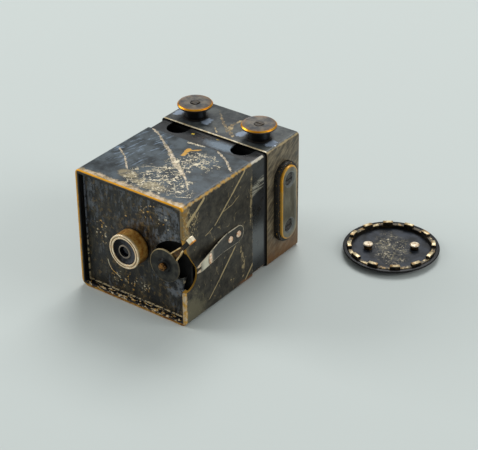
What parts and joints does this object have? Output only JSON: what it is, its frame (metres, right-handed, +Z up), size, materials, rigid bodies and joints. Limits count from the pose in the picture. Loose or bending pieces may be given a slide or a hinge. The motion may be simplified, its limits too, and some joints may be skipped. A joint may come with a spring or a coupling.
{
  "type": "miniature box camera",
  "caption": "Tiny oxidised-brass box camera with a side-lever shutter, leaf spring, sliding roll-film back with winding knobs, side grips and a loose round rear cap.",
  "frame": {"origin": "centre of the underside of the front case", "axes": "+Z up, +Y from the lens back to the film back, +X to the right as the lens face is seen"},
  "size_m": [0.0863, 0.0914, 0.046],
  "materials": {
    "dark_case": "oxidised sheet brass, scratched and worn to the metal along its edges",
    "black_face": "black oxidised brass, mottled",
    "bare_brass": "aged bare brass",
    "dark_sleeve": "smooth oxidised brass",
    "bronze_back": "brown oxidised brass, brushed",
    "knob_black": "black oxidised brass with a bright edge",
    "rivet_copper": "copper rivet heads",
    "spring_steel": "blued spring steel",
    "lens_glass": "clear crown glass",
    "spool_wood": "turned hardwood",
    "film_base": "celluloid film"
  },
  "bodies": {
    "case": {"front_case": "dark_case", "front_plate": "black_face", "lens_barrel": "bare_brass", "lens_stop": "black_face", "front_lens": "lens_glass", "front_lens_ring": "bare_brass", "lens_board": "black_face", "rear_lens_cell": "bare_brass", "rear_lens": "lens_glass", "rear_lens_ring": "bare_brass", "shutter_spring": "spring_steel", "leaf_foot": "spring_steel", "leaf_rivets": "rivet_copper", "inner_sleeve": "dark_sleeve"},
    "shutter": {"shutter_hub": "black_face", "shutter_lever": "bare_brass", "lever_tab": "bare_brass", "shutter_spindle": "bare_brass", "shutter_blade": "black_face", "spindle_nut": "bare_brass"},
    "leaf": {"leaf_blade": "spring_steel", "leaf_button": "rivet_copper"},
    "film_back": {"film_back_shell": "bronze_back", "film_back_rear": "bronze_back", "window_ring": "bare_brass", "spool_frame": "black_face", "spindle_bushes": "bare_brass", "film_strip": "film_base", "roller_pins": "spring_steel", "knob_washers": "bare_brass", "left_grip_base": "black_face", "right_grip_base": "black_face", "left_grip_plate": "bronze_back", "right_grip_plate": "bronze_back", "grip_screws": "bare_brass"},
    "feed": {"feed_spindle": "bare_brass", "feed_spool": "spool_wood", "feed_film_roll": "film_base", "left_knob": "knob_black"},
    "takeup": {"takeup_spindle": "bare_brass", "takeup_spool": "spool_wood", "takeup_film_roll": "film_base", "right_knob": "knob_black"},
    "left_roller": {"left_guide_roller": "spring_steel"},
    "right_roller": {"right_guide_roller": "spring_steel"},
    "cap": {"cap_disc": "black_face", "cap_collar": "bare_brass", "cap_studs": "bare_brass"}
  },
  "joints": [
    {"name": "shutter_swing", "type": "hinge", "parent": "case", "child": "shutter", "pos_m": [0.0129, -0.015, 0.019], "axis": [0, 1, 0], "range_deg": [0, 80]},
    {"name": "leaf_press", "type": "hinge", "parent": "case", "child": "leaf", "pos_m": [0.02082, 0.0035, 0.0201], "axis": [0, 0, 1], "range_deg": [-4, 2], "stiffness_Nm_per_rad": 0.01},
    {"name": "film_back_slide", "type": "slide", "parent": "case", "child": "film_back", "axis": [0, 1, 0], "range_m": [-0.0076, 0.02]},
    {"name": "feed_turn", "type": "hinge", "parent": "film_back", "child": "feed", "pos_m": [-0.0125, 0.0316, 0.0206], "axis": [0, 0, 1], "continuous": true},
    {"name": "takeup_turn", "type": "hinge", "parent": "film_back", "child": "takeup", "pos_m": [0.0125, 0.0316, 0.0206], "axis": [0, 0, 1], "continuous": true},
    {"name": "left_roller_turn", "type": "hinge", "parent": "film_back", "child": "left_roller", "pos_m": [-0.0172, 0.02717, 0.0206], "axis": [0, 0, 1], "continuous": true},
    {"name": "right_roller_turn", "type": "hinge", "parent": "film_back", "child": "right_roller", "pos_m": [0.0172, 0.02717, 0.0206], "axis": [0, 0, 1], "continuous": true},
    {"name": "cap_lift", "type": "slide", "parent": "case", "child": "cap", "axis": [0, 0, 1], "range_m": [0, 0.05]}
  ],
  "couplings": [
    {"joint": "feed_turn", "follows": "takeup_turn", "ratio": 0.75},
    {"joint": "left_roller_turn", "follows": "takeup_turn", "ratio": 3.9},
    {"joint": "right_roller_turn", "follows": "takeup_turn", "ratio": 3.9}
  ]
}
